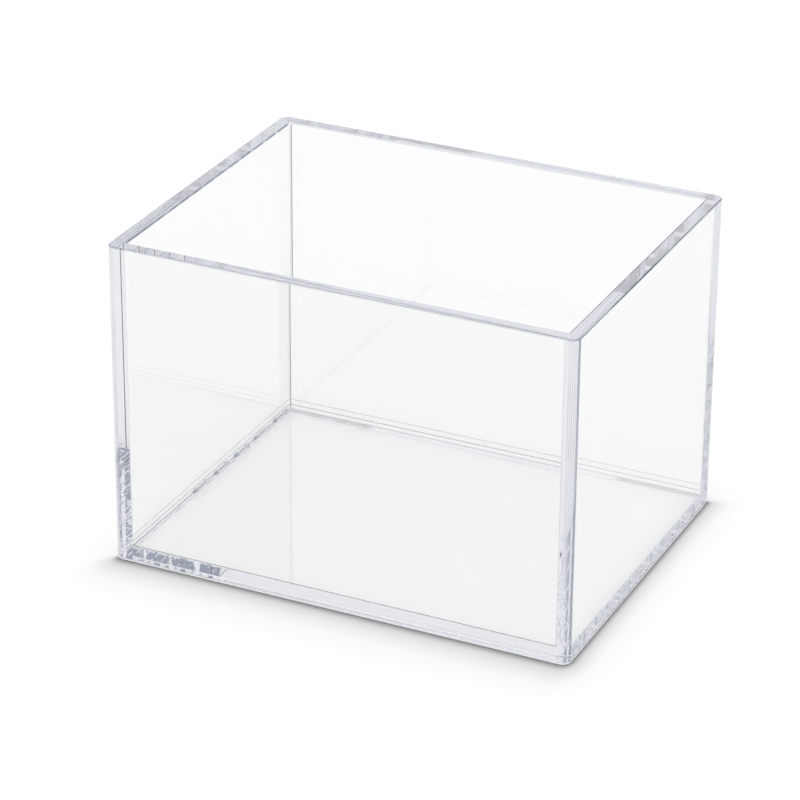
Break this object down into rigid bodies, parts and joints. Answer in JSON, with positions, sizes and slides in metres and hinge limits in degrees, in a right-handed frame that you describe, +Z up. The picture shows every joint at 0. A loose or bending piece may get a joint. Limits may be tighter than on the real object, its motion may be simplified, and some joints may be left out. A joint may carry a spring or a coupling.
{
  "type": "acrylic storage box",
  "caption": "Open-topped clear storage box of bonded acrylic sheets, with butt joints, a polished rim and rounded upright corners.",
  "frame": {"origin": "middle of the underside, on the surface that the box stands on", "axes": "+X along the wide side, to the right seen from the front; +Y from front to back; +Z up"},
  "size_m": [0.13, 0.1, 0.09],
  "materials": {
    "clear_acrylic": "clear cast acrylic sheet with polished edges"
  },
  "bodies": {
    "root": {"front_panel": "clear_acrylic", "back_panel": "clear_acrylic", "left_panel": "clear_acrylic", "right_panel": "clear_acrylic", "base_panel": "clear_acrylic"}
  },
  "joints": []
}
